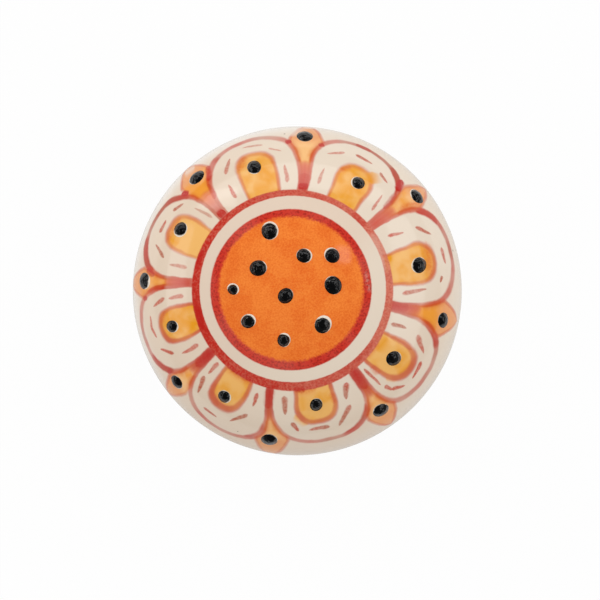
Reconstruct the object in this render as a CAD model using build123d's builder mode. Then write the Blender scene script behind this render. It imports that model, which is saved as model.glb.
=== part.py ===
from build123d import *
import os
from math import asin, cos, degrees, radians, sin, tan

# All sizes are in millimetres. The knob stands on the centre of its foot, with the screw axis along Z.

# Ceramic body: a domed head with a full shoulder, its rounded underside, a straight neck and a flat foot
head_diameter = 40.0
crown_radius = 31.0
shoulder_radius = 9.0
underside_radius = 5.0
neck_diameter = 16.0
neck_height = 11.0
neck_cove_radius = 3.5
foot_diameter = 20.0
foot_lip = 1.2

# The section is turned about the axis to an angle that no dot covers
section_angle = 27.0

# Raised dots of enamel on the dome, each placed by hand:
# its angle in degrees, and its distance from the axis as a share of the head's radius
dot_height = 0.45
middle_dot_diameter = 2.2
petal_dot_diameter = 1.9
leaf_dot_diameter = 2.2
middle_dots = [
    (204, 0.08), (80, 0.22), (8, 0.22), (305, 0.26), (150, 0.28),
    (45, 0.30), (254, 0.31), (212, 0.355), (179, 0.395), (115, 0.40),
]
petal_dots = [
    (12, 0.76), (60, 0.75), (109, 0.80), (152, 0.80),
    (196, 0.79), (235, 0.78), (279, 0.70), (325, 0.715),
]
leaf_dots = [
    (38, 0.925), (87, 0.94), (132, 0.92), (176, 0.93),
    (217, 0.92), (259, 0.915), (305, 0.885), (349, 0.905),
]

# Brass insert for an M4 screw, cemented into the foot
screw_core_diameter = 3.3
screw_mouth_chamfer = 0.5
thread_depth = 10.5
drill_point_angle = 118.0
insert_diameter = 7.0
insert_length = 13.0
flange_diameter = 10.0
flange_thickness = 1.2
flange_chamfer = 0.2
flange_recess = 0.3
groove_count = 3
groove_width = 1.0
groove_depth = 0.4
groove_spacing = 3.0
cement_gap = 0.15

# Radii and heights that follow from the sizes above
head_radius = head_diameter / 2
neck_radius = neck_diameter / 2
foot_radius = foot_diameter / 2
lip_radius = foot_lip / 2
flare_radius = foot_radius - lip_radius - neck_radius
widest_height = neck_height + underside_radius
shoulder_centre = Vector(head_radius - shoulder_radius, widest_height)
crown_tilt = degrees(asin(shoulder_centre.X / (crown_radius - shoulder_radius)))
crown_centre = Vector(0, widest_height - shoulder_centre.X / tan(radians(crown_tilt)))
insert_radius = insert_diameter / 2
flange_radius = flange_diameter / 2
flange_seat = flange_recess + flange_thickness
insert_end = flange_recess + insert_length
screw_core_radius = screw_core_diameter / 2
thread_end = flange_recess + thread_depth
drill_point = screw_core_radius / tan(radians(drill_point_angle / 2))


def on_dome(angle, share):
    """A plane that lies on the dome, at an angle round the axis and a share of the head's radius, facing out."""
    reach = share * head_radius
    on_crown = reach < crown_radius * sin(radians(crown_tilt))
    centre, radius = (crown_centre, crown_radius) if on_crown else (shoulder_centre, shoulder_radius)
    tilt = asin((reach - centre.X) / radius)
    across = Vector(cos(radians(angle)), sin(radians(angle)))
    upward = Vector(0, 0, 1)
    seat = across * reach + upward * (centre.Y + radius * cos(tilt))
    return Plane(origin=seat, z_dir=across * sin(tilt) + upward * cos(tilt))


# The body is cast as one piece, with a stepped hole in its foot for the insert, then dotted and fired
with BuildPart() as ceramic_body:
    with BuildSketch(Plane.XZ.rotated((0, 0, section_angle))):
        with BuildLine():
            crown = CenterArc(crown_centre, crown_radius, 90, -crown_tilt)
            CenterArc(shoulder_centre, shoulder_radius, 90 - crown_tilt, crown_tilt - 90)
            underside = CenterArc((head_radius - underside_radius, widest_height), underside_radius, 0, -90)
            cove = CenterArc(
                (neck_radius + neck_cove_radius, neck_height - neck_cove_radius), neck_cove_radius, 90, 90
            )
            flare = CenterArc((foot_radius - lip_radius, foot_lip + flare_radius), flare_radius, 180, 90)
            lip = CenterArc((foot_radius - lip_radius, lip_radius), lip_radius, 90, -180)
            Line(underside @ 1, cove @ 0)
            Line(cove @ 1, flare @ 0)
            Polyline(
                lip @ 1,
                (flange_radius + cement_gap, 0),
                (flange_radius + cement_gap, flange_seat),
                (insert_radius + cement_gap, flange_seat),
                (insert_radius + cement_gap, insert_end + cement_gap),
                (0, insert_end + cement_gap),
                crown @ 0,
            )
        make_face()
    revolve(axis=Axis.Z)
    for dots, diameter in (
        (middle_dots, middle_dot_diameter),
        (petal_dots, petal_dot_diameter),
        (leaf_dots, leaf_dot_diameter),
    ):
        ball_radius = (diameter**2 / 4 + dot_height**2) / (2 * dot_height)
        with Locations(*[on_dome(angle, share).offset(dot_height - ball_radius) for angle, share in dots]):
            Sphere(ball_radius)

# The insert is turned brass: a flange that seats on the step in the foot, and grooves that the cement grips
with BuildPart() as threaded_insert:
    with BuildSketch(Plane.XZ):
        with BuildLine():
            Polyline(
                (screw_core_radius + screw_mouth_chamfer, flange_recess),
                (flange_radius, flange_recess),
                (flange_radius, flange_seat),
                (insert_radius, flange_seat),
                (insert_radius, insert_end),
                (0, insert_end),
                (0, thread_end + drill_point),
                (screw_core_radius, thread_end),
                (screw_core_radius, flange_recess + screw_mouth_chamfer),
                close=True,
            )
        make_face()
    revolve(axis=Axis.Z)
    flange_rim = threaded_insert.edges().group_by(Axis.Z)[0].sort_by(SortBy.LENGTH)[-1]
    chamfer(flange_rim, flange_chamfer)
    grip_middle = (flange_seat + insert_end) / 2
    with BuildSketch(Plane.XZ):
        with Locations((insert_radius, grip_middle)):
            with GridLocations(0, groove_spacing, 1, groove_count):
                Rectangle(2 * groove_depth, groove_width)
    revolve(axis=Axis.Z, mode=Mode.SUBTRACT)

ceramic_body.part.label = "ceramic_body"
threaded_insert.part.label = "threaded_insert"
os.makedirs("parts", exist_ok=True)
export_step(ceramic_body.part, "parts/ceramic_body.step")
export_step(threaded_insert.part, "parts/threaded_insert.step")
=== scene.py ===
from math import atan, atan2, cos, degrees, hypot, pi, radians, sin

import bmesh
import bpy
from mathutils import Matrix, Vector


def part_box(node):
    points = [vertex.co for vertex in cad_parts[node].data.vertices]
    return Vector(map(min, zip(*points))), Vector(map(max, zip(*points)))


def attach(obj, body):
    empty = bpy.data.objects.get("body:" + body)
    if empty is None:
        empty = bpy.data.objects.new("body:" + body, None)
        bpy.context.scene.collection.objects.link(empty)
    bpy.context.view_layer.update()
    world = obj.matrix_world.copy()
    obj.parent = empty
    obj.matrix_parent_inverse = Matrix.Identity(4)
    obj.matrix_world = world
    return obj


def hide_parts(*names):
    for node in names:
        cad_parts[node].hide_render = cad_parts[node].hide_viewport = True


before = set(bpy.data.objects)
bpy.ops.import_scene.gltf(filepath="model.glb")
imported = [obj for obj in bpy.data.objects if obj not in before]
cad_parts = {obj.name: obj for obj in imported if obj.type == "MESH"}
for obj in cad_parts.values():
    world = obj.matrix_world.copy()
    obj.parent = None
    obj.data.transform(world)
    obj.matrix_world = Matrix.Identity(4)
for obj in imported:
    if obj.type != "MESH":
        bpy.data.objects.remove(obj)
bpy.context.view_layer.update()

# Ceramic body: a mushroom-shaped knob, slip-cast in white earthenware as one piece, with a stepped hole in
# its foot for the screw insert. A flower is brushed on by hand in red and yellow, and the whole is dipped in
# a clear glossy glaze and fired. Only the face of the foot, which stood on the kiln shelf, is left bare.
mm = 0.001
head_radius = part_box("ceramic_body")[1].x / mm
crown_radius = 31.0
crown_tilt = 30.0
shoulder_radius = 9.0
underside_radius = 5.0
neck_radius = 8.0
neck_height = 11.0
cove_radius = 3.5
foot_radius = 10.0
lip_radius = 0.6
flare_radius = foot_radius - lip_radius - neck_radius
insert_hole_radius = 3.65
insert_hole_depth = 13.45
flange_hole_radius = 5.15
flange_hole_depth = 1.5
widest_height = neck_height + underside_radius
shoulder_across = head_radius - shoulder_radius
crown_centre = widest_height - (crown_radius - shoulder_radius) * cos(radians(crown_tilt))
turning_steps = 192
crown_steps = 28
shoulder_steps = 26
underside_steps = 18
cove_steps = 12
flare_steps = 8
lip_steps = 12
weld_distance = 0.001


def turn_on(bm, tip, centre, sweep, steps):
    """Carries a profile's last point round a centre (across, up), in mm, and gives the new last point."""
    across, up = centre
    made = bmesh.ops.spin(
        bm, geom=[tip], cent=(across * mm, 0, up * mm), axis=(0, 1, 0), angle=radians(sweep), steps=steps
    )
    return next(item for item in made["geom_last"] if isinstance(item, bmesh.types.BMVert))


def run_on(bm, tip, *points):
    """Carries the last point of a profile straight on through points (across, up), in mm."""
    for across, up in points:
        tip = bmesh.ops.extrude_vert_indiv(bm, verts=[tip])["verts"][0]
        tip.co = (across * mm, 0, up * mm)
    return tip


def turn_round(bm, steps):
    """Turns a profile all the way round the knob's axis, to a closed skin that faces out."""
    bmesh.ops.spin(
        bm,
        geom=bm.verts[:] + bm.edges[:],
        cent=(0, 0, 0),
        axis=(0, 0, 1),
        angle=2 * pi,
        steps=steps,
        use_merge=True,
    )
    bmesh.ops.remove_doubles(bm, verts=bm.verts[:], dist=weld_distance * mm)
    bmesh.ops.recalc_face_normals(bm, faces=bm.faces[:])


def finish_piece(bm, name, material, sharp_angle=35.0):
    """Makes an object of a mesh: smooth, apart from its sharp edges."""
    for face in bm.faces:
        face.smooth = True
    for edge in bm.edges:
        edge.smooth = edge.calc_face_angle(pi) < radians(sharp_angle)
    mesh = bpy.data.meshes.new(name)
    bm.to_mesh(mesh)
    bm.free()
    mesh.materials.append(material)
    piece = bpy.data.objects.new(name, mesh)
    bpy.context.scene.collection.objects.link(piece)
    return piece


body = bmesh.new()
tip = body.verts.new((0, 0, (crown_centre + crown_radius) * mm))
tip = turn_on(body, tip, (0, crown_centre), crown_tilt, crown_steps)
tip = turn_on(body, tip, (shoulder_across, widest_height), 90 - crown_tilt, shoulder_steps)
tip = turn_on(body, tip, (head_radius - underside_radius, widest_height), 90, underside_steps)
tip = run_on(body, tip, (neck_radius + cove_radius, neck_height))
tip = turn_on(body, tip, (neck_radius + cove_radius, neck_height - cove_radius), -90, cove_steps)
tip = run_on(body, tip, (neck_radius, 2 * lip_radius + flare_radius))
tip = turn_on(body, tip, (foot_radius - lip_radius, 2 * lip_radius + flare_radius), -90, flare_steps)
tip = turn_on(body, tip, (foot_radius - lip_radius, lip_radius), 180, lip_steps)
run_on(
    body,
    tip,
    (flange_hole_radius, 0),
    (flange_hole_radius, flange_hole_depth),
    (insert_hole_radius, flange_hole_depth),
    (insert_hole_radius, insert_hole_depth),
    (0, insert_hole_depth),
)

# Each point of the skin keeps its distance from the crown's top, measured over the surface
from_crown = body.verts.layers.float.new("from_crown")
last_point = body.verts[:][0].co.copy()
travelled = 0.0
for point in body.verts:
    travelled += (point.co - last_point).length
    point[from_crown] = travelled
    last_point = point.co.copy()
skin_length = travelled / mm
turn_round(body, turning_steps)

# The painted dome takes most of the texture square, rolled out flat, and the rest is a strip beside it
crown_run = crown_radius * radians(crown_tilt)
dome_run = crown_run + shoulder_radius * radians(90 - crown_tilt)
dome_share = 0.86
strip_start = 0.88
strip_width = 0.11
strip_height = 0.98
seam_slack = 0.01
axis_slack = 1e-9
bake_map = body.loops.layers.uv.new("OFBake")
for face in body.faces:
    middle = face.calc_center_median()
    on_dome = all(vert[from_crown] < (dome_run + seam_slack) * mm for vert in face.verts)
    for loop in face.loops:
        x, y, _ = loop.vert.co
        run = loop.vert[from_crown] / mm
        on_axis = hypot(x, y) < axis_slack
        if on_dome:
            spread = 0 if on_axis else dome_share / 2 * run / dome_run / hypot(x, y)
            loop[bake_map].uv = (dome_share / 2 + x * spread, dome_share / 2 + y * spread)
        else:
            bearing = atan2(middle.y, middle.x)
            swing = 0 if on_axis else (atan2(y, x) - bearing + pi) % (2 * pi) - pi
            depth = (run - dome_run) / (skin_length - dome_run)
            turn = (bearing + swing) / (2 * pi)
            loop[bake_map].uv = (strip_start + strip_width * depth, 0.5 + strip_height * turn)


class Wire:
    """A value on its way from node to node, so that a painted shape can be written as arithmetic."""

    def __init__(self, socket):
        self.socket = socket

    def __add__(self, other):
        return math("ADD", self, other)

    def __sub__(self, other):
        return math("SUBTRACT", self, other)

    def __rsub__(self, other):
        return math("SUBTRACT", other, self)

    def __mul__(self, other):
        return math("MULTIPLY", self, other)

    def __truediv__(self, other):
        return math("DIVIDE", self, other)

    def __rtruediv__(self, other):
        return math("DIVIDE", other, self)

    def __pow__(self, other):
        return math("POWER", self, other)

    def __abs__(self):
        return math("ABSOLUTE", self)


def plug(value, socket):
    """Joins a wire to a node's input, or sets the input to a plain value."""
    if isinstance(value, Wire):
        value.socket.id_data.links.new(value.socket, socket)
    else:
        socket.default_value = value


def math(operation, *values):
    """A Math node on wires and plain numbers."""
    tree = next(value.socket.id_data for value in values if isinstance(value, Wire))
    node = tree.nodes.new("ShaderNodeMath")
    node.operation = operation
    for value, socket in zip(values, node.inputs):
        plug(value, socket)
    return Wire(node.outputs["Value"])


def fade(value, nothing, full):
    """A soft mask, from 0 where the value is nothing to 1 where it is full."""
    node = value.socket.id_data.nodes.new("ShaderNodeMapRange")
    node.interpolation_type = "SMOOTHSTEP"
    plug(value, node.inputs["Value"])
    plug(nothing, node.inputs["From Min"])
    plug(full, node.inputs["From Max"])
    return Wire(node.outputs["Result"])


def within(value, edge, softness):
    """A soft mask that is 1 where a value lies under an edge."""
    return fade(value, edge + softness, edge - softness)


def lay(mask, under, over, coat=None):
    """One colour laid over another where the mask says, and as thickly as its coat."""
    node = mask.socket.id_data.nodes.new("ShaderNodeMix")
    node.data_type = "RGBA"
    lower_colour, upper_colour, mixed = node.inputs[6], node.inputs[7], node.outputs[2]
    plug(mask * coat if coat else mask, node.inputs["Factor"])
    plug(under, lower_colour)
    plug(over, upper_colour)
    return Wire(mixed)


def noise(place, size, detail=2.0, output="Fac"):
    """Soft random patches of about the given size, in mm."""
    node = place.socket.id_data.nodes.new("ShaderNodeTexNoise")
    plug(place, node.inputs["Vector"])
    plug(1 / size, node.inputs["Scale"])
    node.inputs["Detail"].default_value = detail
    return Wire(node.outputs[output])


def split(vector):
    """The three numbers of a vector or a colour."""
    node = vector.socket.id_data.nodes.new("ShaderNodeSeparateXYZ")
    plug(vector, node.inputs[0])
    return [Wire(output) for output in node.outputs]


def far_out(across, up_page):
    """How far a place lies from the middle."""
    return (across * across + up_page * up_page) ** 0.5


def paint(red, green, blue):
    """A colour as it is seen, in parts of 255, turned to the linear colour that a shader takes."""
    seen = [part / 255 for part in (red, green, blue)]
    return *[((part + 0.055) / 1.055) ** 2.4 if part > 0.04 else part / 12.92 for part in seen], 1.0


def node_group(name, inputs, outputs, vectors=()):
    """An empty node group, for numbers and vectors: the group, the wires from its inputs, and its outputs."""
    tree = bpy.data.node_groups.new(name, "ShaderNodeTree")
    for in_out, labels in (("INPUT", inputs), ("OUTPUT", outputs)):
        for label in labels:
            kind = "NodeSocketVector" if label in vectors else "NodeSocketFloat"
            tree.interface.new_socket(label, in_out=in_out, socket_type=kind)
    start = tree.nodes.new("NodeGroupInput")
    end = tree.nodes.new("NodeGroupOutput")
    return tree, [Wire(start.outputs[label]) for label in inputs], [end.inputs[label] for label in outputs]


def use_group(group, **values):
    """A node group placed in the tree that its wires are in."""
    tree = next(value.socket.id_data for value in values.values() if isinstance(value, Wire))
    node = tree.nodes.new("ShaderNodeGroup")
    node.node_tree = group
    for label, value in values.items():
        plug(value, node.inputs[label])
    return [Wire(output) for output in node.outputs]


def keep_nearer(own_distance, own_coat, distance, coat, ends):
    """Passes on the nearer of two shapes: the distance outside it, in mm, and how thick its paint is."""
    nearer = math("LESS_THAN", own_distance, distance)
    plug(math("MINIMUM", own_distance, distance), ends[0])
    plug(coat + (own_coat - coat) * nearer, ends[1])


# A brushed arch, for petals and for the drops in them: straight sides under a rounded top
arch_squareness = 2.4
arch_foot = 12.4
ring_reach = 12.47
side_reach = 16.0
nearest_so_far = ("distance", "coat")
arch_labels = ("middle", "lean", "width", "tip", "rise", "own_coat")
arch_inputs = ("angle", "reach", *arch_labels, *nearest_so_far)
brushed_arch, wires, arch_ends = node_group("brushed_arch", arch_inputs, nearest_so_far)
angle, reach, middle, lean, width, tip, rise, own_coat, distance, coat = wires
swing = math("WRAP", angle - middle - lean * (reach - arch_foot), 180, -180)
sideways = abs(swing) / width
upward = math("MAXIMUM", (reach - tip) / rise + 1, 0)
size = (sideways**arch_squareness + upward**arch_squareness) ** (1 / arch_squareness)
keep_nearer((size - 1) * width * radians(side_reach), own_coat, distance, coat, arch_ends)

# A brushed leaf between two petals: it tapers to a tip that points outwards
leaf_shoulder = 20.0
leaf_labels = ("middle", "width", "tip", "fullness", "own_coat")
leaf_inputs = ("angle", "reach", *leaf_labels, *nearest_so_far)
brushed_leaf, wires, leaf_ends = node_group("brushed_leaf", leaf_inputs, nearest_so_far)
angle, reach, middle, width, tip, fullness, own_coat, distance, coat = wires
swing = abs(math("WRAP", angle - middle, 180, -180))
taper = math("MAXIMUM", math("MINIMUM", (tip - reach) / (tip - leaf_shoulder), 1), 0) ** fullness
past_tip = math("MAXIMUM", reach - tip, 0)
keep_nearer((swing - taper * width) * radians(leaf_shoulder) + past_tip, own_coat, distance, coat, leaf_ends)

# A dab of the brush: a short stroke with rounded ends, which may be thinner at its start. Its numbers turn
# a place on the flower into shares of the stroke's half length and half width.
dab_squareness = 3
thinnest_share = 0.3
dab_labels = ("along_x", "along_y", "along_start", "beside_x", "beside_y", "beside_start")
dab_inputs = ("x", "y", *dab_labels, "strength", "taper", "softness", "painted")
brush_dab, wires, dab_ends = node_group("brush_dab", dab_inputs, ("painted",))
x, y, along_x, along_y, along_start, beside_x, beside_y, beside_start, *manner = wires
strength, taper, softness, painted = manner
along = x * along_x + y * along_y + along_start
beside = x * beside_x + y * beside_y + beside_start
sideways = abs(beside) / math("MAXIMUM", along * taper + 1, thinnest_share)
dab = fade(sideways + (along * along) ** dab_squareness, softness + 1, 1 - softness * 2)
plug(math("MAXIMUM", painted, dab * strength), dab_ends[0])


def dabs(strokes, softness, taper=0.0):
    """Dabs from an angle and reach to another, each with a width and, where it is weak, a strength."""
    painted = 0.0
    manner = {"softness": softness, "taper": taper}
    for start_angle, start_reach, end_angle, end_reach, thickness, *weaker in strokes:
        start = Vector((cos(radians(start_angle)), sin(radians(start_angle)))) * start_reach
        end = Vector((cos(radians(end_angle)), sin(radians(end_angle)))) * end_reach
        middle = (start + end) / 2
        along = (end - start) * 2 / (end - start).length_squared
        beside = (end - start).orthogonal().normalized() * 2 / thickness
        numbers = (*along, -along.dot(middle), *beside, -beside.dot(middle))
        shape = dict(zip(dab_labels, numbers), strength=weaker[0] if weaker else 1.0)
        (painted,) = use_group(brush_dab, x=flower_x, y=flower_y, painted=painted, **manner, **shape)
    return painted


# The flower's parts, as they were brushed, about a middle a little off the knob's own.
# Angles are in degrees, from the right and anticlockwise, and reaches in mm over the surface.
flower_middle = (-0.757, 0.216)
disc_reach = 8.78
inner_line_reach = 9.88
band_reach = 11.48
petals = [
    # middle, lean for each mm outwards, half the width, tip, rise of the rounded top, coat of its red line
    (14.2, -0.05, 22.1, 22.4, 9.2, 0.72),
    (60.9, 0.0, 20.4, 21.65, 6.4, 0.72),
    (107.7, 0.0, 22.4, 21.2, 9.0, 0.62),
    (154.9, 0.12, 20.0, 21.15, 8.0, 0.85),
    (197.3, 0.18, 19.5, 21.5, 7.5, 0.72),
    (238.5, 0.5, 18.6, 21.6, 6.5, 0.68),
    (282.1, 0.3, 22.8, 20.5, 7.0, 0.60),
    (328.9, -0.25, 19.4, 21.4, 7.2, 0.60),
]
drops = [
    # the same, with how deep the yellow is
    (11.0, 0.1, 9.5, 19.0, 3.4, 0.70),
    (59.8, 0.0, 9.3, 18.1, 3.2, 0.80),
    (105.7, 0.15, 9.7, 18.5, 3.8, 0.80),
    (152.9, 0.0, 9.5, 17.8, 3.2, 0.05),
    (196.4, 0.15, 8.9, 17.7, 3.2, 1.00),
    (238.7, 0.0, 9.4, 17.9, 4.6, 0.50),
    (282.5, -0.1, 10.7, 17.5, 3.6, 0.25),
    (325.6, 0.05, 10.2, 18.6, 4.4, 0.40),
]
leaves = [
    # middle, half the width, tip, how blunt it is, how deep the yellow is
    (37.0, 4.7, 24.3, 0.75, 0.65),
    (84.4, 6.4, 24.6, 0.8, 0.05),
    (131.2, 6.3, 24.2, 0.8, 0.95),
    (177.6, 5.9, 24.2, 0.8, 1.00),
    (219.9, 4.6, 24.4, 0.8, 0.55),
    (262.4, 6.4, 25.6, 0.8, 0.25),
    (306.5, 5.8, 24.0, 0.8, 0.50),
    (349.0, 6.8, 24.0, 0.8, 1.20),
]
dashes = [
    # from an angle and reach, to an angle and reach, and the width; five or so to a petal
    (0.2, 17.2, 357.6, 13.7, 0.54), (2.3, 19.2, 4.8, 19.8, 0.42), (9.3, 20.6, 16.0, 20.5, 0.59),
    (21.3, 19.6, 26.6, 17.7, 0.52), (26.7, 15.9, 28.8, 13.6, 0.40),
    (46.0, 16.6, 44.2, 13.9, 0.36, 0.75), (47.8, 18.3, 53.0, 19.0, 0.45), (57.0, 19.4, 64.4, 19.5, 0.48),
    (75.5, 17.9, 68.5, 19.1, 0.42, 0.8), (74.5, 15.9, 75.9, 13.4, 0.42, 0.8),
    (92.9, 15.8, 92.0, 13.2, 0.5, 0.7), (94.0, 17.7, 99.5, 18.6, 0.3, 0.6),
    (109.5, 19.9, 101.0, 19.4, 0.38, 0.65), (115.0, 18.9, 119.8, 16.8, 0.54),
    (121.2, 15.4, 121.2, 13.1, 0.46),
    (140.3, 16.0, 138.0, 13.2, 0.4, 0.6), (141.2, 17.7, 146.6, 18.6, 0.52), (151.0, 18.8, 157.0, 18.8, 0.55),
    (161.8, 18.8, 166.4, 16.7, 0.46), (168.5, 15.8, 168.5, 13.2, 0.5, 0.7),
    (187.6, 18.1, 183.8, 16.1, 0.50), (184.2, 15.6, 183.4, 13.4, 0.58, 0.75),
    (191.0, 18.9, 196.0, 19.2, 0.42),
    (200.2, 18.7, 195.0, 19.2, 0.46), (204.6, 19.0, 208.8, 17.0, 0.52), (211.0, 16.1, 210.6, 13.4, 0.59),
    (228.3, 18.1, 225.0, 15.4, 0.59), (225.5, 14.9, 225.0, 12.9, 0.54), (240.0, 19.5, 233.2, 19.5, 0.46),
    (244.9, 19.0, 251.0, 16.9, 0.56), (252.0, 15.7, 252.0, 13.6, 0.54),
    (272.9, 18.3, 270.0, 16.9, 0.59), (267.5, 15.9, 266.4, 13.3, 0.71), (276.8, 18.2, 286.0, 18.3, 0.58),
    (289.3, 18.6, 297.0, 16.4, 0.70), (296.4, 15.6, 300.6, 13.4, 0.72),
    (319.8, 19.3, 315.0, 18.0, 0.48), (315.2, 18.2, 313.7, 17.0, 0.52), (312.7, 16.6, 312.2, 13.4, 0.42),
    (323.4, 19.6, 331.0, 19.1, 0.59), (333.8, 18.9, 340.2, 16.9, 0.66), (341.5, 15.3, 341.0, 13.1, 0.54),
]
# The stems, from the ring outwards along the gaps between the petals
stems = [
    (38.3, 11.9, 38.0, 16.6, 4.0), (83.4, 11.9, 83.9, 16.3, 4.0), (132.4, 11.9, 132.2, 16.6, 4.4, 0.76),
    (176.6, 11.9, 176.6, 16.2, 4.0), (218.6, 11.9, 218.9, 16.6, 4.0), (258.2, 11.9, 259.8, 17.0, 4.0),
    (307.0, 11.9, 307.0, 17.0, 4.0), (350.9, 11.9, 350.8, 16.6, 4.0),
]
# Where the brush was lifted and the red pooled, along the ring too
pools = [
    (42.8, 18.5, 44.4, 20.7, 1.3), (41.0, 15.4, 42.2, 18.2, 0.8, 0.5), (90.2, 19.5, 92.6, 19.2, 0.9, 0.9),
    (40.0, 12.0, 52.0, 12.0, 1.0, 0.45), (68.0, 12.0, 94.0, 12.0, 1.0, 0.2),
    (298.0, 12.0, 326.0, 12.0, 1.1, 0.35), (77.4, 19.4, 79.6, 19.1, 0.8, 0.8),
    (137.2, 18.2, 138.6, 19.4, 1.0), (124.4, 20.0, 127.4, 17.4, 0.9, 0.7),
    (128.4, 17.2, 130.0, 14.8, 0.7, 0.5), (172.0, 19.4, 174.6, 17.8, 0.9, 0.7),
    (183.6, 19.0, 184.2, 19.9, 0.7, 0.8), (214.0, 19.0, 214.2, 20.0, 0.7, 0.7),
    (80.4, 12.8, 86.0, 12.8, 1.1, 0.95), (83.2, 12.4, 83.6, 14.6, 1.5, 0.3),
    (130.0, 12.8, 135.0, 12.7, 1.3, 0.9), (272.0, 12.4, 278.0, 12.6, 0.9, 0.6),
    (230.6, 12.6, 246.8, 12.6, 0.7, 0.35), (189.0, 12.0, 206.0, 12.0, 0.8, 0.8),
    (156.0, 12.0, 169.0, 12.0, 0.7, 0.8), (218.4, 12.2, 219.0, 15.6, 1.4, 0.6),
    (306.6, 12.2, 307.2, 15.8, 1.5, 0.5), (258.4, 12.2, 258.9, 15.4, 1.3, 0.5),
    (350.6, 12.2, 350.8, 14.8, 1.4, 0.3), (334.6, 13.6, 333.4, 17.2, 0.6, 0.35),
]
# Where the brush pressed harder on a petal's line
pressed = [
    (24.0, 21.4, 32.0, 19.0, 2.2), (42.0, 18.0, 50.0, 21.4, 2.2), (60.0, 21.7, 66.0, 21.7, 1.4),
    (119.0, 20.4, 128.0, 16.8, 2.4), (137.0, 18.0, 146.0, 20.8, 2.0), (160.0, 21.4, 173.0, 18.4, 2.4),
    (205.0, 21.3, 214.6, 18.8, 1.8), (252.0, 20.8, 258.0, 17.6, 2.0), (290.0, 20.4, 303.0, 17.4, 2.0),
    (338.0, 20.6, 347.0, 17.4, 2.0), (176.0, 12.0, 181.0, 19.2, 1.4),
]
# Where a leaf's tip was wiped thin
wiped = [(89.8, 20.4, 88.6, 24.8, 2.6), (82.6, 23.4, 84.6, 24.8, 2.8), (128.4, 21.9, 133.0, 22.4, 2.4, 0.8)]
# Where the yellow ran past its drop, and where it ran over the drop's line
spills = [(271.6, 15.8, 277.2, 17.3, 1.5), (316.4, 16.3, 320.0, 17.8, 0.9)]
run_over = [(51.8, 16.8, 55.8, 18.3, 2.0)]
# Where the yellow was gone over again, and where a second, orange coat touched it
gone_over = [
    (7.0, 17.4, 18.0, 17.2, 1.8), (60.4, 15.0, 61.6, 12.6, 2.4), (101.0, 13.0, 110.8, 13.2, 2.2),
    (104.6, 15.4, 105.0, 14.0, 1.4), (157.0, 17.0, 158.4, 15.4, 1.8), (193.5, 13.4, 202.4, 13.2, 2.4),
    (233.0, 17.0, 231.4, 15.0, 1.6), (275.8, 15.4, 275.4, 13.4, 1.2, 0.6), (324.0, 13.1, 333.4, 13.4, 1.5),
    (321.0, 17.4, 329.0, 18.0, 1.4), (35.0, 18.2, 40.0, 18.2, 1.6), (126.0, 17.7, 135.4, 17.6, 1.6),
    (175.0, 17.3, 181.0, 17.3, 2.4), (219.2, 17.6, 220.6, 16.6, 1.4), (219.4, 22.6, 220.6, 21.4, 1.2),
    (346.0, 18.2, 353.0, 17.8, 2.8),
]
second_coats = [
    (4.0, 17.9, 20.0, 18.2, 1.6), (64.0, 17.4, 67.5, 16.2, 0.8), (109.0, 18.1, 114.0, 16.4, 1.2),
    (146.5, 16.9, 160.0, 17.2, 0.9), (189.5, 16.2, 195.0, 17.2, 0.8), (231.0, 16.3, 238.0, 17.6, 1.1),
    (315.8, 15.4, 316.4, 13.8, 1.1), (291.0, 15.4, 291.6, 13.6, 0.8),
    (230.0, 12.7, 247.6, 12.7, 1.2), (272.6, 12.8, 284.0, 12.6, 1.3), (317.0, 12.6, 329.0, 12.6, 0.9),
    (36.8, 17.2, 33.6, 20.6, 0.9),
]
# Where the ring is thin, a painted highlight on the right of the red line inside it, laid as a thinner coat,
# and specks of iron in the clay
thinned = [(10.0, 12.0, 35.0, 12.0, 1.8)]
line_highlight = [(13.0, 9.45, 357.0, 9.6, 0.5)]
specks = [(92.6, 21.1, 92.9, 21.3, 0.25), (13.3, 23.2, 13.8, 23.4, 0.3), (249.0, 20.2, 249.4, 20.3, 0.2)]

# Colours of the clay, the paints and the bare foot, with whites for painted shade and a painted highlight
glaze_white = paint(230, 214, 195)
cream_white = paint(226, 204, 181)
band_shade = paint(226, 205, 185)
rim_highlight_white = paint(242, 233, 222)
thin_red = paint(197, 70, 48)
dense_red = paint(187, 32, 25)
brown_red = paint(179, 82, 50)
leaf_edge = paint(210, 98, 54)
red_on_yellow = paint(206, 76, 38)
ring_thin = paint(216, 126, 104)
ring_dense = paint(194, 46, 34)
line_red = paint(205, 54, 40)
grain_red = paint(150, 26, 20)
line_glow = paint(216, 82, 40)
stem_pink = paint(211, 94, 76)
stem_red = paint(194, 50, 44)
drop_yellow = paint(241, 184, 106)
drop_gold = paint(234, 155, 30)
drop_line = paint(204, 92, 72)
drop_orange = paint(222, 112, 48)
leaf_pale = paint(246, 190, 124)
leaf_gold = paint(240, 152, 28)
leaf_tan = paint(234, 154, 88)
disc_orange = paint(248, 140, 58)
disc_deep = paint(228, 100, 32)
iron_speck = paint(112, 92, 70)
bare_clay = paint(222, 208, 188)


def new_material(name):
    """A new material, its node tree and the shader in it."""
    material = bpy.data.materials.new(name)
    material.use_nodes = True
    return material, material.node_tree, material.node_tree.nodes["Principled BSDF"]


def place_on_piece(tree):
    """Where on its piece a point lies, in mm."""
    coordinates = tree.nodes.new("ShaderNodeTexCoord")
    in_mm = tree.nodes.new("ShaderNodeVectorMath")
    in_mm.operation = "SCALE"
    in_mm.inputs["Scale"].default_value = 1 / mm
    tree.links.new(coordinates.outputs["Object"], in_mm.inputs[0])
    return Wire(in_mm.outputs["Vector"])


def kept_number(tree, name):
    """A number that each point of the skin keeps."""
    attribute = tree.nodes.new("ShaderNodeAttribute")
    attribute.attribute_name = name
    return Wire(attribute.outputs["Fac"])


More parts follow.
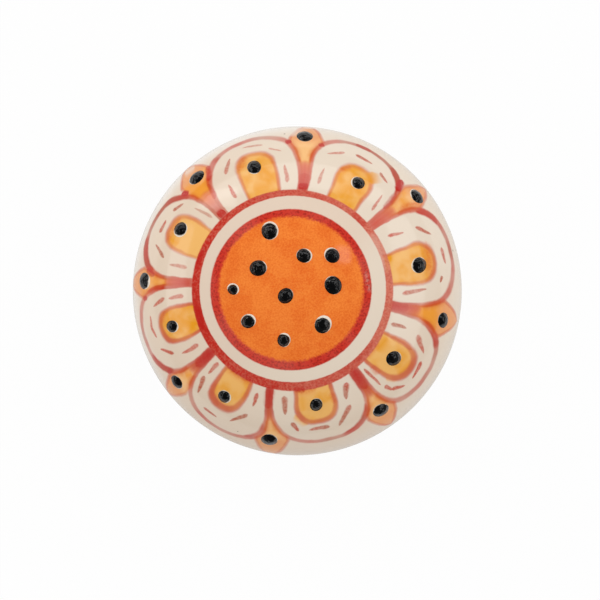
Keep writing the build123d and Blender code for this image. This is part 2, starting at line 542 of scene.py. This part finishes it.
painted_glaze, tree, glaze = new_material("painted_glaze")
glaze.inputs["IOR"].default_value = 1.5
spot = place_on_piece(tree)
x, y, z = split(spot)
over_surface = kept_number(tree, "from_crown") / mm

# The place on the rolled-out dome: as the rings have it, which were laid on a turning wheel, and with the
# waver of a hand-held brush for the rest
waver = 0.55
waver_size = 3.0
waver_x, waver_y, _ = split(noise(spot, waver_size, output="Color"))
bleed = 0.1
bleed_size = 0.45
bleed_x, bleed_y, _ = split(noise(spot, bleed_size, output="Color"))
near_axis = 0.001
roll_out = over_surface / math("MAXIMUM", far_out(x, y), near_axis)
turned_x = x * roll_out - flower_middle[0] + (bleed_x - 0.5) * bleed
turned_y = y * roll_out - flower_middle[1] + (bleed_y - 0.5) * bleed
turned_reach = far_out(turned_x, turned_y)
flower_x = turned_x + (waver_x - 0.5) * waver
flower_y = turned_y + (waver_y - 0.5) * waver
reach = far_out(flower_x, flower_y)
angle = math("DEGREES", math("ARCTAN2", flower_y, flower_x))

# How heavily the brush was loaded, from stroke to stroke, the pigment's grain, and blotches in the yellow
load_size = 4.0
load = fade(noise(spot, load_size), 0.3, 0.7)
grain_size = 0.28
grain = fade(noise(spot, grain_size, detail=1.0), 0.3, 0.7)
blotch_size = 2.2
blotch = noise(spot, blotch_size)


def nearest_of(group, shapes, labels):
    """The distance outside the nearest of several brushed shapes, and how thick its coat of paint is."""
    far_off = 99.0
    distance, coat = far_off, 0.0
    for shape in shapes:
        values = dict(zip(labels, shape))
        distance, coat = use_group(group, angle=angle, reach=reach, distance=distance, coat=coat, **values)
    return distance, coat


# The petals reach in under the ring, which is laid over them
edge_softness = 0.15
petal_foot = ring_reach - 0.55
from_petal, petal_coat = nearest_of(brushed_arch, petals, arch_labels)
between = fade(from_petal, -edge_softness, edge_softness)
outside_rings = fade(reach, petal_foot - edge_softness, petal_foot + edge_softness)

# The white is creamier to the left. It is painted darker and creamier below and at the lower right of the
# rim, as painted shade, and whiter at the upper left of the rim, as a painted highlight
rim_start = 20.5
rim_full = 24.0
behind_rim = 8.0
to_lower_right = flower_x * 0.8 - flower_y * 0.6
to_upper_left = flower_y * 0.6 - flower_x
# Painted shade: the white is darker and creamier at the lower right of the rim and below
shade_lower_right = fade(to_lower_right, 12, 18) * fade(over_surface, 22, 19.5)
cream_and_shade = fade(flower_x, 4, -14) * 0.7 + fade(flower_y, -15, -22) * 0.4 + shade_lower_right * 0.5
at_rim = fade(over_surface, rim_start, rim_full) * fade(over_surface, dome_run + behind_rim, dome_run)
# Painted highlight: the upper left of the rim is whiter
painted_rim_highlight = at_rim * fade(to_upper_left, 2, 18)
ground = lay(painted_rim_highlight, lay(cream_and_shade, glaze_white, cream_white), rim_highlight_white)

# The yellows are deeper where their coat is thick, in blotches, and where they were gone over again
deeper = dabs(gone_over, softness=0.9)


def how_deep(coat):
    """How deep a yellow looks, by its coat."""
    return math("MAXIMUM", fade(blotch + coat * 0.4, 0.6, 1.0), deeper)


# Leaves fill the gaps between the petals, and a stem is washed over the inner end of each, redder on the
# lower half of the flower
leaf_softness = 0.2
leaf_start = 13.8
leaf_full = 15.8
leaf_line_width = 0.5
from_leaf, leaf_coat = nearest_of(brushed_leaf, leaves, leaf_labels)
leaf = within(from_leaf, 0.0, leaf_softness) * between * fade(reach, leaf_start, leaf_full)
leaf_yellow = lay(how_deep(leaf_coat), leaf_pale, leaf_gold)
leaf_colour = lay(fade(reach + load, 19.0, 21.4), leaf_yellow, leaf_tan)
colour = lay(leaf, ground, leaf_colour, coat=0.95)
leaf_rim = leaf * fade(from_petal, 0.8, 0.2) * fade(reach, 16.2, 17.4)
colour = lay(leaf_rim, colour, leaf_edge, coat=0.4)
leaf_line = within(abs(from_leaf), leaf_line_width / 2, edge_softness) * between * fade(reach, 18.5, 20.0)
colour = lay(leaf_line, colour, leaf_edge, coat=load * 0.3 + 0.45)
colour = lay(dabs(wiped, softness=0.7), colour, ground, coat=0.8)
stem = dabs(stems, softness=0.6) * fade(from_petal, -0.36, -0.16)
stem_foot = fade(reach + load, 15.6, 13)
stem_weight = fade(flower_y, 2.5, -7.5) * 0.75 + stem_foot * 0.35 + (grain - 0.5) * 0.15 - 0.06
stem_colour = lay(stem_weight, stem_pink, stem_red)
colour = lay(stem, colour, stem_colour, coat=1 - fade(reach, 13.5, 16.5) * 0.12)

# Yellow drops, with an orange line round them that is heavier on the lower petals
line_width = 0.56
drop_line_inset = 0.2
drop_line_softness = 0.16
from_drop, drop_coat = nearest_of(brushed_arch, drops, arch_labels)
drop = math("MAXIMUM", within(from_drop, -0.1, edge_softness), dabs(spills, softness=0.5) * 0.9)
drop_colour = lay(how_deep(drop_coat), drop_yellow, drop_gold)
colour = lay(drop * outside_rings, colour, drop_colour)
colour = lay(dabs(second_coats, softness=0.6), colour, drop_orange, coat=grain * 0.3 + 0.45)
heavier = fade(flower_y, -2, -9) * 0.05
from_drop_line = abs(from_drop + heavier + drop_line_inset) - heavier
drop_edge = within(from_drop_line, line_width / 2, drop_line_softness) * outside_rings
drop_line_coat = load * 0.3 + fade(flower_y, 5, -7) * 0.2 + 0.38
colour = lay(drop_edge, colour, drop_line, coat=drop_line_coat)
colour = lay(dabs(run_over, softness=0.5), colour, drop_gold, coat=0.75)

# Red lines round the petals, fuller where the brush pressed and along the rim, which look orange beside the
# yellow leaves; dashes in the petals; and the specks
patch_size = 6.0
red = lay(fade(noise(spot, patch_size), 0.45, 0.65), thin_red, brown_red)
by_leaf = fade(from_leaf, 0.5, 0.0) * fade(reach, 15.5, 16.8)
press = dabs(pressed, softness=0.8)
line_colour = lay(press, lay(by_leaf, red, red_on_yellow), dense_red, coat=0.5)
fuller = press * 0.14 + fade(reach, 19, 21) * 0.04
petal_line = within(abs(from_petal) - fuller, line_width / 2, edge_softness) * outside_rings
line_coat = math("MINIMUM", petal_coat + load * 0.3 - 0.09 + press * 0.3, 1)
colour = lay(petal_line * line_coat, colour, line_colour, coat=1 - stem * 0.75)
dash = dabs(dashes, softness=0.25, taper=0.35)
colour = lay(dash, colour, red, coat=grain * 0.2 + load * 0.2 + 0.55)
colour = lay(dabs(specks, softness=0.3), colour, iron_speck, coat=0.8)


def off_centre(lean_x, lean_y):
    """The reach about a middle that lies a little to one side of the flower's own."""
    return turned_reach + turned_x * lean_x + turned_y * lean_y


# The middle: an orange disc, a grainy red line, a white band and a red ring, none quite about the same point.
# The ring is denser to the left.
ring_softness = 0.1
ring = within(off_centre(-0.010, 0.013), ring_reach, ring_softness)
thin = dabs(thinned, softness=0.7)
ring_weight = flower_x * -0.034 + flower_y * -0.004 + load * 0.2 + grain * 0.4 - thin * 0.3 + 0.25
ring_colour = lay(ring_weight, ring_thin, ring_dense)
pigment_size = 0.26
pigment = fade(noise(spot, pigment_size), 0.47, 0.62)
ring_colour = lay(pigment, ring_colour, grain_red, coat=0.22)
colour = lay(ring, colour, ring_colour, coat=1 - thin * 0.25)
colour = lay(dabs(pools, softness=0.25), colour, dense_red, coat=grain * 0.15 + 0.85)
band_softness = 0.08
band = within(off_centre(-0.015, -0.001), band_reach, band_softness)
# The band is painted darker, as painted shade, except towards its right and lower right
band_colour = lay(fade(turned_x - turned_y, 8, 0), ground, band_shade)
colour = lay(band, colour, band_colour)
inner_line = within(off_centre(0.004, 0.0088), inner_line_reach, ring_softness)
# Painted highlight: the red line is laid thinner at its right
inner_coat = (load * 0.06 + 0.94) * (1 - dabs(line_highlight, softness=0.7) * (1 - grain) * 0.3)
inner_red = lay(pigment, line_red, grain_red, coat=0.65)
disc_edge = off_centre(0.0, -0.002) + (grain - 0.5) * 0.2
glow_width = 0.3
inner_colour = lay(fade(disc_edge, disc_reach, disc_reach + glow_width), line_glow, inner_red)
colour = lay(inner_line, colour, inner_colour, coat=inner_coat)
stipple_size = 0.2
stipple = fade(noise(spot, stipple_size), 0.25, 0.75)
disc_weight = stipple * 0.6 + fade(blotch, 0.35, 0.65) * 0.3 + load * 0.1 - 0.02
disc_softness = 0.17
disc = within(disc_edge, disc_reach - 0.03, disc_softness)
colour = lay(disc, colour, lay(disc_weight, disc_orange, disc_deep))

# Only the dome is painted, and the foot's face has no glaze
glaze_roughness = 0.07
clay_roughness = 0.7
on_dome = within(over_surface, dome_run + 0.05, 0.25)
colour = lay(on_dome, ground, colour)
bare = fade(z, 0.35, 0.1) * fade(over_surface, dome_run, dome_run + 1)
colour = lay(bare, colour, bare_clay)
plug(colour, glaze.inputs["Base Color"])
plug(bare * clay_roughness + load * 0.03 + glaze_roughness, glaze.inputs["Roughness"])

# Soft waves in a surface, of a size and a depth in mm, because no finish here lies quite evenly
uneven_inputs = ("place", "size", "depth", "strength")
uneven_vectors = ("place", "normal")
uneven_surface, wires, uneven_ends = node_group("uneven_surface", uneven_inputs, ("normal",), uneven_vectors)
place, size, depth, strength = wires
waves = uneven_surface.nodes.new("ShaderNodeBump")
plug(strength, waves.inputs["Strength"])
plug(depth * mm, waves.inputs["Distance"])
plug(noise(place, size), waves.inputs["Height"])
plug(Wire(waves.outputs["Normal"]), uneven_ends[0])
(glaze_waves,) = use_group(uneven_surface, place=spot, size=5.0, depth=0.1, strength=0.25)
plug(glaze_waves, glaze.inputs["Normal"])

ceramic = finish_piece(body, "ceramic_knob", painted_glaze)
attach(ceramic, "root")
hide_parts("ceramic_body")

# Enamel dots: drops of thick white slip set on the dome from a fine tip, each with a cap of black enamel that
# doesn't quite cover it, fired on with the glaze. They stand proud of the surface and shine.
dot_height = 0.42
dot_toe = 0.2
toe_width = 0.03
bare_slip = 0.14
dot_skirt = 0.1
lumpiness = 0.05
lump_turn = 1.9
dot_steps = 28
dot_cap_steps = 9
dot_toe_steps = 5
slip_white = paint(234, 222, 206)
enamel_black = paint(10, 10, 11)
dots = [
    # angle, reach and width of the black cap, about the flower's middle, where the slip is bare and how much
    (232.0, 1.05, 1.88, 45, 0.2), (68.3, 4.32, 1.68, 30, 0.8), (5.0, 5.10, 2.15, 110, 0.3),
    (312.1, 5.78, 1.85, 55, 1.2), (147.6, 4.69, 1.98, 30, 0.4), (39.4, 6.41, 1.72, 130, 0.8),
    (262.1, 6.24, 1.50, 30, 0.8), (217.0, 6.48, 1.62, 60, 0.8), (180.1, 7.04, 1.25, 60, 0.9),
    (109.9, 7.54, 1.94, 45, 1.1),
    (10.6, 16.36, 1.92, 150, 0.7), (57.9, 15.77, 1.60, 170, 0.7), (107.0, 16.14, 1.80, 220, 0.5),
    (151.8, 15.95, 1.72, 290, 0.9), (197.5, 15.78, 1.50, 330, 0.7), (238.2, 16.00, 1.57, 20, 0.7),
    (282.2, 14.80, 1.63, 45, 0.3), (325.9, 15.50, 1.90, 15, 0.4),
    (36.6, 20.76, 2.08, 140, 0.6), (85.1, 20.71, 2.35, 250, 0.2), (130.4, 19.47, 2.22, 200, 0.4),
    (176.8, 19.70, 2.16, 350, 0.8), (219.0, 19.58, 1.90, 350, 0.4), (261.6, 20.24, 2.20, 10, 0.5),
    (306.4, 19.60, 2.10, 120, 0.5), (348.4, 20.34, 2.00, 180, 0.3),
]


def roll_up(across, up_page, height):
    """The point that lies at a place on the rolled-out dome, at a height over the surface; in metres."""
    run = hypot(across, up_page) / mm
    on_crown = run < crown_run
    tilt = run / crown_radius if on_crown else radians(crown_tilt) + (run - crown_run) / shoulder_radius
    radius, centre = (crown_radius, crown_centre) if on_crown else (shoulder_radius, widest_height)
    outward = (0 if on_crown else shoulder_across) + (radius + height / mm) * sin(tilt)
    upward = centre + (radius + height / mm) * cos(tilt)
    bearing = atan2(up_page, across)
    return Vector((outward * cos(bearing), outward * sin(bearing), upward)) * mm


def join_on(bm, part):
    """Adds a finished part to the mesh of its piece."""
    mesh = bpy.data.meshes.new("part")
    part.to_mesh(mesh)
    part.free()
    bm.from_mesh(mesh)
    bpy.data.meshes.remove(mesh)


dot_mesh = bmesh.new()
dot_mesh.verts.layers.float.new("covered")
for count, (angle, reach, width, bare_bearing, bare_share) in enumerate(dots):
    seat_x = flower_middle[0] + reach * cos(radians(angle))
    seat_y = flower_middle[1] + reach * sin(radians(angle))
    slip_radius = width / 2 + bare_slip * bare_share - toe_width
    cap_x = -bare_slip * bare_share * cos(radians(bare_bearing)) * mm
    cap_y = -bare_slip * bare_share * sin(radians(bare_bearing)) * mm
    slope = degrees(2 * atan(dot_height / slip_radius))
    cap_radius = slip_radius / sin(radians(slope)) - dot_toe
    bead = bmesh.new()
    tip = bead.verts.new((0, 0, dot_height * mm))
    tip = turn_on(bead, tip, (0, dot_height - cap_radius), slope, dot_cap_steps)
    tip = turn_on(bead, tip, (slip_radius, dot_toe), -slope, dot_toe_steps)
    run_on(bead, tip, (slip_radius + dot_skirt, -dot_skirt))
    turn_round(bead, dot_steps)
    mound = bead.verts.layers.float.new("covered")
    for vert in bead.verts:
        lump = 1 + lumpiness * sin(2 * atan2(vert.co.y, vert.co.x) + lump_turn * count)
        vert.co.x *= lump
        vert.co.y *= lump
        vert[mound] = hypot(vert.co.x - cap_x, vert.co.y - cap_y) / (width / 2 * mm)
        vert.co = roll_up(seat_x * mm + vert.co.x, seat_y * mm + vert.co.y, vert.co.z)
    join_on(dot_mesh, bead)

dot_enamel, tree, enamel = new_material("dot_enamel")
enamel.inputs["Roughness"].default_value = 0.1
enamel.inputs["IOR"].default_value = 1.58
spot = place_on_piece(tree)
ragged_size = 0.7
ragged = (noise(spot, ragged_size) - 0.5) * 0.3
black = fade(kept_number(tree, "covered") + ragged, 1.12, 0.98)
plug(lay(black, slip_white, enamel_black), enamel.inputs["Base Color"])
(dimples,) = use_group(uneven_surface, place=spot, size=0.8, depth=0.3, strength=0.8)
plug(dimples, enamel.inputs["Normal"])

enamel_dots = finish_piece(dot_mesh, "enamel_dots", dot_enamel)
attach(enamel_dots, "root")
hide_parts("ceramic_body")

# Screw insert: a flanged sleeve turned from brass bar and tapped M4, with grooves round it that the cement
# grips. It is cemented into the foot, its flange on the step of the hole, a little below the foot's face.
flange_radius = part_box("threaded_insert")[1].x / mm
flange_face = 0.3
flange_seat = 1.5
flange_chamfer = 0.2
sleeve_radius = 3.5
sleeve_end = 13.3
groove_middles = (4.4, 7.4, 10.4)
groove_width = 1.0
groove_depth = 0.4
core_radius = 1.65
thread_radius = 2.0
thread_end = 10.8
drill_point = 0.99
thread_runout = 0.3
mouth_chamfer = 0.25
sleeve_steps = 96
bright_brass = paint(219, 190, 134)
dull_brass = paint(186, 152, 98)

grooves = []
for middle in groove_middles:
    low, high = middle - groove_width / 2, middle + groove_width / 2
    floor_radius = sleeve_radius - groove_depth
    grooves += [(sleeve_radius, low), (floor_radius, low), (floor_radius, high), (sleeve_radius, high)]
sleeve = bmesh.new()
tip = sleeve.verts.new((0, 0, (thread_end + drill_point) * mm))
run_on(
    sleeve,
    tip,
    (core_radius, thread_end),
    (thread_radius, thread_end - thread_runout),
    (thread_radius, flange_face + mouth_chamfer),
    (thread_radius + mouth_chamfer, flange_face),
    (flange_radius - flange_chamfer, flange_face),
    (flange_radius, flange_face + flange_chamfer),
    (flange_radius, flange_seat),
    (sleeve_radius, flange_seat),
    *grooves,
    (sleeve_radius, sleeve_end),
    (0, sleeve_end),
)
turn_round(sleeve, sleeve_steps)

# The thread is one ridge wound up the bore
pitch = 0.7
thread_turns = 13
thread_steps = 36
crest_width = 0.18
root_width = 0.6
ridge_foot = thread_radius + 0.05
thread_start = flange_face + mouth_chamfer + root_width / 2
ridge = bmesh.new()
root = ridge.verts.new((ridge_foot * mm, 0, (thread_start - root_width / 2) * mm))
tip = run_on(
    ridge,
    root,
    (core_radius, thread_start - crest_width / 2),
    (core_radius, thread_start + crest_width / 2),
    (ridge_foot, thread_start + root_width / 2),
)
ridge.edges.new((tip, root))
bmesh.ops.spin(
    ridge,
    geom=ridge.verts[:] + ridge.edges[:],
    cent=(0, 0, 0),
    axis=(0, 0, 1),
    dvec=(0, 0, pitch / thread_steps * mm),
    angle=2 * pi * thread_turns,
    steps=thread_steps * thread_turns,
)
bmesh.ops.holes_fill(ridge, edges=[edge for edge in ridge.edges if edge.is_boundary])
bmesh.ops.recalc_face_normals(ridge, faces=ridge.faces[:])
join_on(sleeve, ridge)

insert_brass, tree, brass = new_material("insert_brass")
brass.inputs["Metallic"].default_value = 1.0
spot = place_on_piece(tree)
x, y, z = split(spot)
tarnish_size = 2.5
tarnish = fade(noise(spot, tarnish_size), 0.4, 0.7)
plug(lay(tarnish, bright_brass, dull_brass), brass.inputs["Base Color"])
plug(tarnish * 0.12 + 0.28, brass.inputs["Roughness"])
lathe = tree.nodes.new("ShaderNodeCombineXYZ")
plug(far_out(x, y), lathe.inputs["X"])
plug(z, lathe.inputs["Z"])
turned = Wire(lathe.outputs["Vector"])
(tool_marks,) = use_group(uneven_surface, place=turned, size=0.12, depth=0.02, strength=0.3)
plug(tool_marks, brass.inputs["Normal"])

screw_insert = finish_piece(sleeve, "screw_insert", insert_brass, sharp_angle=25.0)
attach(screw_insert, "root")
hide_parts("threaded_insert")

# Studio: a plain white floor and backdrop. To the camera they are white almost by themselves, and the floor
# keeps the knob's soft shadow. The glaze mirrors a dim room that is dark overhead, where the camera hangs,
# and the light is weaker in front, below the knob in the picture.
floor_size = 5.0
floor_white = (0.8, 0.8, 0.8, 1)
backdrop_share = 0.96
ambient_light = 0.87
room_light = 0.12
overhead_light = 0.02
front_share = 0.52
front_from = -0.55
front_full = -0.9
room_from = 45
room_full = 20

floor_mesh = bmesh.new()
bmesh.ops.create_grid(floor_mesh, x_segments=1, y_segments=1, size=floor_size)
floor_paint, tree, matt = new_material("floor_paint")
matt.inputs["Base Color"].default_value = floor_white
matt.inputs["Roughness"].default_value = 0.9
glow = tree.nodes.new("ShaderNodeEmission")
mix = tree.nodes.new("ShaderNodeMixShader")
path = tree.nodes.new("ShaderNodeLightPath")
plug(Wire(path.outputs["Is Camera Ray"]) * backdrop_share, mix.inputs["Fac"])
tree.links.new(matt.outputs["BSDF"], mix.inputs[1])
tree.links.new(glow.outputs["Emission"], mix.inputs[2])
tree.links.new(mix.outputs["Shader"], tree.nodes["Material Output"].inputs["Surface"])
floor = finish_piece(floor_mesh, "floor", floor_paint)

world = bpy.data.worlds.new("studio")
bpy.context.scene.world = world
world.use_nodes = True
tree = world.node_tree
direction = tree.nodes.new("ShaderNodeTexCoord")
_, depth, height = split(Wire(direction.outputs["Generated"]))
front = fade(depth, front_full, front_from) * (1 - front_share) + front_share
lit_wall = fade(height, sin(radians(room_from)), sin(radians(room_full)))
room = lit_wall * (room_light - overhead_light) + overhead_light
path = tree.nodes.new("ShaderNodeLightPath")
seen = Wire(path.outputs["Is Camera Ray"])
mirrored = Wire(path.outputs["Is Glossy Ray"])
lighting = (mirrored * room + (1 - seen - mirrored) * ambient_light) * front
plug(seen + lighting, tree.nodes["Background"].inputs["Strength"])
tree.nodes["Background"].inputs["Color"].default_value = (1, 1, 1, 1)

# Soft boxes stand round the knob, the largest above it, and a small lamp hangs beside the camera
box_distance = 0.6


def soft_box(name, bearing, off_axis, width, height, brightness):
    """A soft box that faces the knob, at a bearing round it and an angle off its axis, in degrees."""
    lamp = bpy.data.lights.new(name, "AREA")
    lamp.shape = "RECTANGLE"
    lamp.size = width
    lamp.size_y = height
    lamp.energy = brightness * pi * width * height
    outward = sin(radians(off_axis))
    aim = Vector((cos(radians(bearing)) * outward, sin(radians(bearing)) * outward, cos(radians(off_axis))))
    box = bpy.data.objects.new(name, lamp)
    box.location = aim * box_distance
    box.rotation_euler = Vector((0, 0, 1)).rotation_difference(aim).to_euler()
    box.visible_camera = False
    bpy.context.scene.collection.objects.link(box)


soft_box("top_box", 95, 54, 1.0, 0.14, 1.3)
soft_box("window", 130, 56, 0.16, 0.09, 2.2)
soft_box("right_box", 5, 52, 0.17, 0.6, 1.2)
soft_box("left_box", 175, 58, 0.14, 0.5, 1.3)
soft_box("near_lamp", 38, 26.3, 0.066, 0.075, 2.0)

# The camera looks straight down on the dome, from far enough to leave little perspective. The knob's place
# and radius in the picture are in pixels.
camera_distance = 1.0
picture_side = 600
knob_across = 297.3
knob_down = 290.8
knob_radius = 164.5
pixel = head_radius / knob_radius * mm
camera = bpy.data.cameras.new("camera")
camera.lens = camera.sensor_width * camera_distance / (picture_side * pixel)
camera_object = bpy.data.objects.new("camera", camera)
camera_object.location = (
    (picture_side / 2 - knob_across) * pixel,
    (knob_down - picture_side / 2) * pixel,
    widest_height * mm + camera_distance,
)
bpy.context.scene.collection.objects.link(camera_object)
bpy.context.scene.camera = camera_object
bpy.context.scene.view_settings.view_transform = "Standard"
